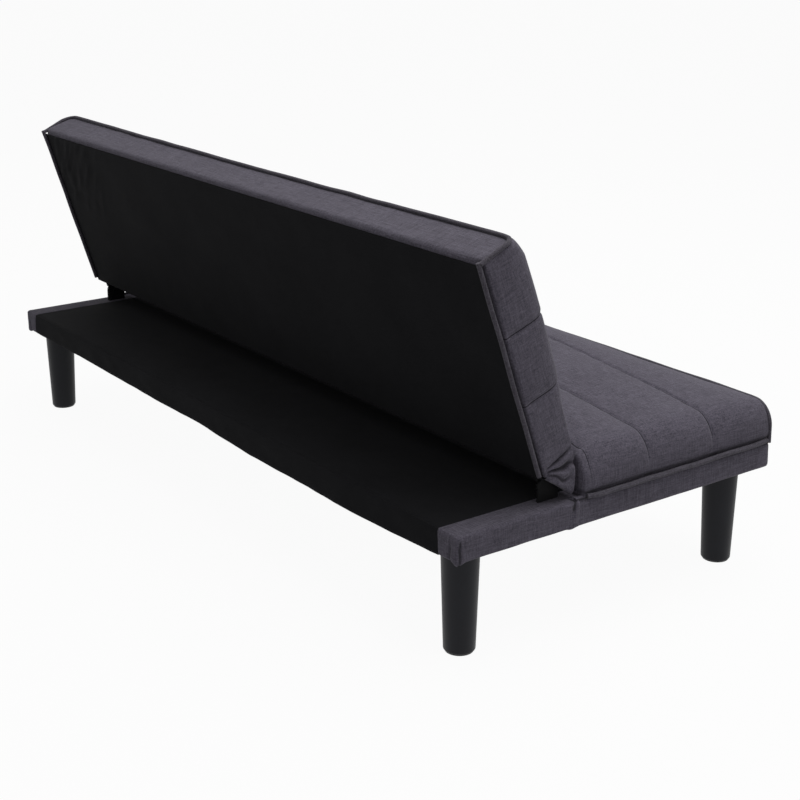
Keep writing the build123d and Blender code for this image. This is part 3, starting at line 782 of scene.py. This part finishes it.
# Painted shade: a dark line along the seat's drawn-in foot at each end, above the foot piping.
set_crease(seat, 0.85 * at_end * bell(points[:, 2] - seat_base - 0.0105, 0.0030))
only(seat)
bpy.ops.object.shade_smooth()
seat_cloth = linen_look("charcoal_seat_cloth", cloth_low, cloth_high, seam_axis="Y",
                        seams=(*seat_seams, seat_band), fade=(0.262, 0.300))
cover(seat, seat_cloth)
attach(seat, "base")
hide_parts("seat_cover", "seat_foam")


def sewn_wave(place, seed):
    """The small uneven wave of a sewn edge, between about -1 and 1."""
    return noise.noise(Vector(place) / 0.07 + Vector(seed))


def piping(name, route, radius, wave, seed):
    """A fabric covered cord along a smooth route, with the small waves of a sewn edge."""
    curve = bpy.data.curves.new(name, "CURVE")
    curve.dimensions = "3D"
    curve.bevel_depth = radius
    curve.bevel_resolution = 4
    curve.resolution_u = 6
    curve.use_fill_caps = True
    spline = curve.splines.new("NURBS")
    spline.points.add(len(route) - 1)
    for point, place in zip(spline.points, route):
        shift = wave * sewn_wave(place, (seed, 0, 0))
        lift = wave * sewn_wave(place, (0, seed, 0))
        point.co = (place[0], place[1] + shift, place[2] + lift, 1.0)
    spline.order_u = 3
    spline.use_endpoint_u = True
    piece = bpy.data.objects.new(name, curve)
    bpy.context.scene.collection.objects.link(piece)
    only(piece)
    bpy.ops.object.convert(target="MESH")
    bpy.ops.object.shade_smooth()
    return piece


def run_between(a, b, count):
    """Places along a straight run, its first end left out."""
    return [tuple(p + (q - p) * i / count for p, q in zip(a, b)) for i in range(1, count + 1)]


welt_cloth = linen_look("charcoal_piping", (0.026, 0.023, 0.030), (0.094, 0.086, 0.106))
welt_radius = 0.004
welt_wave = 0.0012
foot_radius = 0.0044
foot_wave = 0.0034
foot_seed = 5.0
foot_out = 0.0070
flange_width = 0.016
front_low, front_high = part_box("seat_front_welt")
welt_x = front_high[0] - welt_radius
welt_y = (front_low[1] + front_high[1]) / 2
welt_z = front_high[2] - welt_radius
turn = 0.043


def panel_corner(sign, angles):
    """Places round an upper corner of the seat's front panel."""
    return [(sign * (welt_x - turn * (1 - cos(a))), welt_y, welt_z - turn * (1 - sin(a))) for a in angles]


route = [(-welt_x, welt_y, front_low[2] + 0.001)]
route += run_between(route[-1], (-welt_x, welt_y, welt_z - turn), 3)
route += panel_corner(-1, np.linspace(0.2, 1.4, 5))
route += run_between((-welt_x + turn, welt_y, welt_z), (welt_x - turn, welt_y, welt_z), 56)
route += panel_corner(1, np.linspace(1.4, 0.2, 5))
route += run_between((welt_x, welt_y, welt_z - turn), (welt_x, welt_y, front_low[2] + 0.001), 3)
seat_pipes = [(piping("seat_front_piping", route, welt_radius, welt_wave, 2.0), "seat_front_welt")]
for side, sign in sides:
    low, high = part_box(f"seat_foot_welt_{side}")
    middle_x = (low[0] + high[0]) / 2
    pipe_z = low[2] + welt_radius + 0.0015
    pipe_run = np.linspace(low[1] + 0.002, high[1] - 0.004, 26)
    shown = grow(pipe_run - low[1], 0.03) * grow(high[1] - 0.004 - pipe_run, 0.02)
    pipe_x = middle_x + sign * foot_out * shown
    route = [(x, y, pipe_z) for x, y in zip(pipe_x, pipe_run)]
    pipe = piping(f"seat_foot_piping_{side}", route, foot_radius, foot_wave, foot_seed)
    flange, u, v = flat_grid("piping_flange", 90, 6)
    y = low[1] + 0.004 + u * (high[1] - low[1] - 0.010)
    cord_x = np.interp(y, pipe_run, pipe_x)
    lift = np.array([foot_wave * sewn_wave((a, b, pipe_z), (0, foot_seed, 0)) for a, b in zip(cord_x, y)])
    set_coords(flange, np.stack([cord_x - sign * flange_width * v, y, pipe_z + lift * (1 - v)], axis=1))
    finish_mesh(flange, "SOLIDIFY", thickness=0.0016, offset=0.0)
    only(pipe)
    flange.select_set(True)
    bpy.ops.object.join()
    seat_pipes.append((pipe, f"seat_foot_welt_{side}"))
for pipe, node in seat_pipes:
    cover(pipe, welt_cloth)
    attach(pipe, "base")
    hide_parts(node)


# Back: foam on a webbed frame in a quilted charcoal cover with two sewn lines across,
# its foot gathered at each end round the hinge; the rear is closed with black lining.
hinge = Vector((0.0, 0.150, 0.262))
back_lean = radians(18)


def leaned(points):
    """From the back's own upright frame to its place on the sofa."""
    x, y, z = points.T
    return np.stack([x, hinge.y + y * cos(back_lean) + z * sin(back_lean),
                     hinge.z - y * sin(back_lean) + z * cos(back_lean)], axis=1)


back_foot_half = 0.835


def half_at(z):
    """Half length of the back at a height: narrower at the top."""
    return back_foot_half - 0.020 * (z + 0.022) / 0.466


back_seams = (0.310, 0.184)
seam_drop = (0.70, 0.82, 0.011)


def seam_level(x, z):
    """Height up the back, with the drop of the seams towards its ends taken out."""
    start, end, depth = seam_drop
    return z + depth * soften(grow(np.abs(x) - start, end - start))


back_top = 0.441
back_foot = -0.034
back_rear = 0.0229
back_front = -0.044
back_corner = 0.024
back_half = 0.834
foot_slope = 0.076
foot_depth = 0.067
foot_stop = -0.0235
top_dip = 0.004
gather_z = 0.046
back = block("back_cushion", (-back_half, back_front, back_foot), (back_half, back_rear, back_top))
select_in_edit(back, "VERT", lambda v: v.co.z < 0 and v.co.y > 0)
bpy.ops.transform.translate(value=(0, 0, foot_slope))
leave_edit()
round_edges(back, back_corner, 7, lambda m, d: abs(m.y - back_front) < 0.002 and abs(d.z) > 0.9)
round_edges(back, 0.004, 3, lambda m, d: abs(m.z - back_foot) < 0.002 and abs(d.x) > 0.9)
round_edges(back, 0.005, 2, lambda m, d: m.z > back_top - 0.002)
even_mesh(back, 0.006)
points = coords(back)
x, y, z = points.T.copy()
turn_x = grow(np.abs(x) - back_half + back_corner, back_corner)
turn_y = grow(back_front + back_corner - y, back_corner)
squared = np.hypot(turn_x, turn_y) / np.maximum(np.maximum(turn_x, turn_y), 1e-6) - 1
squared *= 0.8 * grow(0.14 - z, 0.12)
x += np.sign(x) * turn_x * squared * back_corner
y -= turn_y * squared * back_corner
forward = grow(back_rear - y, back_rear - back_front)
crown = 0.018 * (1 - grow(np.abs(x) - 0.42, 0.415) ** 2)
profile = np.interp(z, [-0.022, 0.0, 0.060, 0.184, 0.310, 0.444],
                    [-0.037, -0.045, -0.055, -0.063, -0.064, -0.058])
fullness = between_seams(seam_level(x, z), (-0.002, *back_seams[::-1], back_top))
quilted = grow(back_top - z, 0.10) * grow(z - 0.060, 0.11)
y += forward * (profile - back_front - 0.5 * crown * quilted - 0.0045 * fullness)
end_fill = np.interp(z, [0.05, 0.20, 0.405, 0.430, 0.444], [0.0, 0.0065, 0.0092, 0.0040, 0.0])
end_fill += 0.0045 * (1 - fullness) * np.clip(z / 0.05 - 1, 0, 1) * grow(0.44 - z, 0.03)
y -= forward * end_fill * grow(np.abs(x) - 0.70, 0.10)
share = grow(back_rear - y, foot_depth)
flap = grow(np.abs(x) - 0.806, 0.008) * bell(z - back_foot - foot_slope * (1 - share), 0.010)
z -= 0.036 * flap * share * (1 - share)
z = np.where(z < foot_stop, foot_stop + 0.15 * (z - foot_stop), z)
z -= top_dip * (1 - (x / 0.8) ** 2) * forward * grow(z - 0.40, 0.04)
x *= half_at(z) / back_foot_half
at_end = grow(np.abs(x) - half_at(z) + 0.03, 0.03)
x -= np.sign(x) * at_end * 0.002 * (1 - fullness) * forward * grow(back_top - z, 0.04)
set_coords(back, np.stack([x, y, z], axis=1))
seam_gap = from_seam(seam_level(x, z), back_seams)
held = (y > back_rear - 0.003) | (seam_gap < 0.004) | (z > back_top - 0.006) | (z < -0.006)
held |= (at_end > 0.3) & ((z < 0.055) | (forward > 0.7))
swell(back, held, 0.006)
points = coords(back)
x, y, z = points.T
seam_gap = from_seam(seam_level(x, z), back_seams)
facing = grow(back_rear - 0.004 - y, 0.02)
pucker = 0.0010 * ripple(points * np.array([3.0, 1.0, 1.0]), 0.05, 21) * bell(seam_gap, 0.030)
drawn = 0.0009 * ripple(points, 0.09, 22) + 0.0003 * ripple(points, 0.03, 23)
push_out(back, facing * (pucker + drawn))
refine(back, lambda m: m.y < back_rear - 0.004 and min(
    abs(seam_level(m.x, m.z) - seam) for seam in back_seams) < seam_reach)
refine(back, lambda m: m.z < 0.085 and abs(m.x) > 0.790)
points = coords(back)
x, y, z = points.T
seam_gap = from_seam(seam_level(x, z), back_seams)
facing = grow(back_rear - 0.004 - y, 0.02)
at_end = grow(np.abs(x) - half_at(z) + 0.022, 0.014)
reach = np.hypot(back_rear - y, z - gather_z)
ray = np.degrees(np.arctan2(z - gather_z, back_rear - y)) + 7 * ripple(points, 0.022, 24)
folds = 0.0030 * bell(ray + 4, 5) - 0.0050 * bell(ray - 6, 4) - 0.0056 * bell(ray + 15, 4.5)
folds += 0.0036 * bell(ray + 27, 6) - 0.0034 * bell(ray + 38, 4) + 0.0022 * bell(ray + 47, 5)
folds *= at_end * grow(reach - 0.004, 0.012) * grow(0.082 - reach, 0.026)
beside_welt = at_end * bell(y - back_rear + 0.0012, 0.0028)
# Painted shade in the gathered folds at the foot and in a dark line beside the side piping.
set_crease(back, np.clip(-folds / 0.0048, 0, 0.8) + 0.7 * beside_welt)
push_out(back, folds - 0.0030 * facing * bell(seam_gap, seam_sink_width) - 0.0014 * beside_welt)
set_coords(back, leaned(coords(back)))
only(back)
bpy.ops.object.shade_smooth()
back_cloth = linen_look("charcoal_back_cloth", cloth_low, cloth_high, lean=back_lean, pivot=hinge,
                        seam_axis="Z", seams=back_seams, drop=seam_drop)
cover(back, back_cloth)
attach(back, "back")
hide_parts("back_cover", "back_foam")

lining_foot = 0.0345
lining_top = 0.431
lining_turn = 0.012
lining_run = lining_turn + lining_top - lining_foot
rear_lining, u, v = flat_grid("back_rear_lining", 230, 66)
run = v * lining_run
z = lining_foot + np.maximum(run - lining_turn, 0)
x = (2 * u - 1) * (half_at(z) - 0.0022)
flat_points = np.stack([x, np.zeros_like(x), z], axis=1)
slow = ripple(flat_points, 0.16, 31)
slant = np.stack([(x + z) * 5.0, np.zeros_like(x), (z - x) * 0.8], axis=1)
pulls = ripple(slant, 0.075, 32)
near_corner = bell(x - 0.76, 0.17) * bell(z - 0.36, 0.16)
near_left = bell(x + 0.76, 0.10) * bell(z - 0.40, 0.10)
free = np.sin(pi * u) ** 0.4 * grow(z - lining_foot, 0.05) * grow(lining_top - z, 0.05)
beyond_deck = grow(z - 0.226, 0.04)
wave = np.clip(free * (0.0002 + 0.0006 * slow), 0, 0.0003) * (1 + 3 * beyond_deck)
y = 0.0236 + wave + beyond_deck * np.maximum(pulls, -0.1) * (0.0055 * near_corner + 0.0016 * near_left)
y -= np.maximum(lining_turn - run, 0)
set_coords(rear_lining, leaned(np.stack([x, y, z], axis=1)))
thicken(rear_lining, lining_thickness)
cover(rear_lining, lining_black)
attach(rear_lining, "back")
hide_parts("back_lining")

edge_y = -0.054
edge_z = 0.443
rear_y = 0.0246
rear_z = 0.436
top_x = 0.8130
turn = 0.027
side_y = 0.0272
side_inset = 0.0034


def back_piping(name, route, seed):
    return piping(name, [tuple(p) for p in leaned(np.array(route))], welt_radius, welt_wave, seed)


ends = {}
for side, sign in sides:
    ends[side] = [(sign * top_x, rear_y - i * (rear_y - edge_y - turn) / 5, rear_z + i * (edge_z - rear_z) / 5)
                  for i in range(6)]
    ends[side] += [(sign * (top_x - turn * (1 - cos(a))), edge_y + turn * (1 - sin(a)), edge_z)
                   for a in (0.4, 0.8, 1.2)]
across = run_between((-top_x + turn, edge_y, edge_z), (top_x - turn, edge_y, edge_z), 54)
route = ends["left"] + [(x, y, z - top_dip * (1 - (x / 0.8) ** 2)) for x, y, z in across] + ends["right"][::-1]
back_pipes = [(back_piping("back_top_piping", route, 8.0), "back_top_welt")]
for side, sign in sides:
    route = [(sign * (half_at(z) - side_inset), side_y, z) for z in np.linspace(0.440, 0.044, 18)]
    back_pipes.append((back_piping(f"back_side_piping_{side}", route, 11.0), f"back_side_welt_{side}"))
for pipe, node in back_pipes:
    cover(pipe, welt_cloth)
    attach(pipe, "back")
    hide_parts(node)
    if node != "back_top_welt":
        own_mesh(pipe)


# Studio: a plain white floor that keeps a faint shadow, a white surround seen only by the
# camera and in gloss, a wide soft lamp overhead and a weaker one on the end that shows.
def seen_white(tree, lit, white, output):
    """White to the camera and in reflections, lit plainly for everything else."""
    path = tree.nodes.new("ShaderNodeLightPath")
    seen = [path.outputs[f"Is {kind} Ray"] for kind in ("Camera", "Glossy", "Transmission")]
    mix = tree.nodes.new("ShaderNodeMixShader")
    tree.links.new(joined(tree, "MAXIMUM", seen), mix.inputs["Fac"])
    tree.links.new(lit, mix.inputs[1])
    tree.links.new(white, mix.inputs[2])
    tree.links.new(mix.outputs["Shader"], output)


world = bpy.data.worlds.new("studio")
bpy.context.scene.world = world
world.use_nodes = True
sky_tree = world.node_tree
sky = sky_tree.nodes["Background"]
white = sky_tree.nodes.new("ShaderNodeBackground")
for surround, strength in ((sky, 0.34), (white, 1.0)):
    set_sockets(surround, {"Color": (1.0, 1.0, 1.0, 1.0), "Strength": strength})
seen_white(sky_tree, sky.outputs["Background"], white.outputs["Background"],
           sky_tree.nodes["World Output"].inputs["Surface"])

bpy.ops.object.select_all(action="DESELECT")
bpy.ops.mesh.primitive_plane_add(size=40, location=(0, 0, 0))
floor = bpy.context.object
floor.name = "floor"
paper = bpy.data.materials.new("white_floor")
paper.use_nodes = True
paper_tree = paper.node_tree
paper_shader = paper_tree.nodes["Principled BSDF"]
set_sockets(paper_shader, {"Base Color": (0.62, 0.62, 0.62, 1.0), "Roughness": 0.9, "Specular IOR Level": 0.0})
glow = paper_tree.nodes.new("ShaderNodeEmission")
glow.inputs["Strength"].default_value = 1.0
half_lit = paper_tree.nodes.new("ShaderNodeMixShader")
half_lit.inputs["Fac"].default_value = 0.95
paper_tree.links.new(paper_shader.outputs["BSDF"], half_lit.inputs[1])
paper_tree.links.new(glow.outputs["Emission"], half_lit.inputs[2])
seen_white(paper_tree, paper_shader.outputs["BSDF"], half_lit.outputs["Shader"],
           paper_tree.nodes["Material Output"].inputs["Surface"])
floor.data.materials.append(paper)


def soft_lamp(name, size, energy, place, aim):
    light = bpy.data.lights.new(name, "AREA")
    light.shape = "RECTANGLE"
    light.size, light.size_y = size
    light.energy = energy
    lamp = bpy.data.objects.new(name, light)
    lamp.location = place
    lamp.rotation_euler = (Vector(aim) - Vector(place)).to_track_quat("-Z", "Y").to_euler()
    bpy.context.scene.collection.objects.link(lamp)


soft_lamp("overhead", (4.0, 3.0), 122.0, (-0.7, -0.8, 3.6), (-0.2, -0.1, 0.3))
soft_lamp("near_end", (2.0, 1.6), 9.0, (-4.2, -0.4, 1.8), (-0.8, 0.0, 0.35))

camera_data = bpy.data.cameras.new("photo_view")
camera_data.sensor_width = 36.0
camera_data.lens = 69.77
camera_data.shift_y = -0.0891
camera_data.clip_end = 100.0
camera = bpy.data.objects.new("photo_view", camera_data)
camera.location = (-2.6165, 1.7863, 1.2414)
look = Vector((0.0, -0.1344, 0.300)) - Vector(camera.location)
camera.rotation_euler = look.to_track_quat("-Z", "Y").to_euler()
bpy.context.scene.collection.objects.link(camera)
bpy.context.scene.camera = camera
bpy.context.scene.view_settings.view_transform = "Standard"
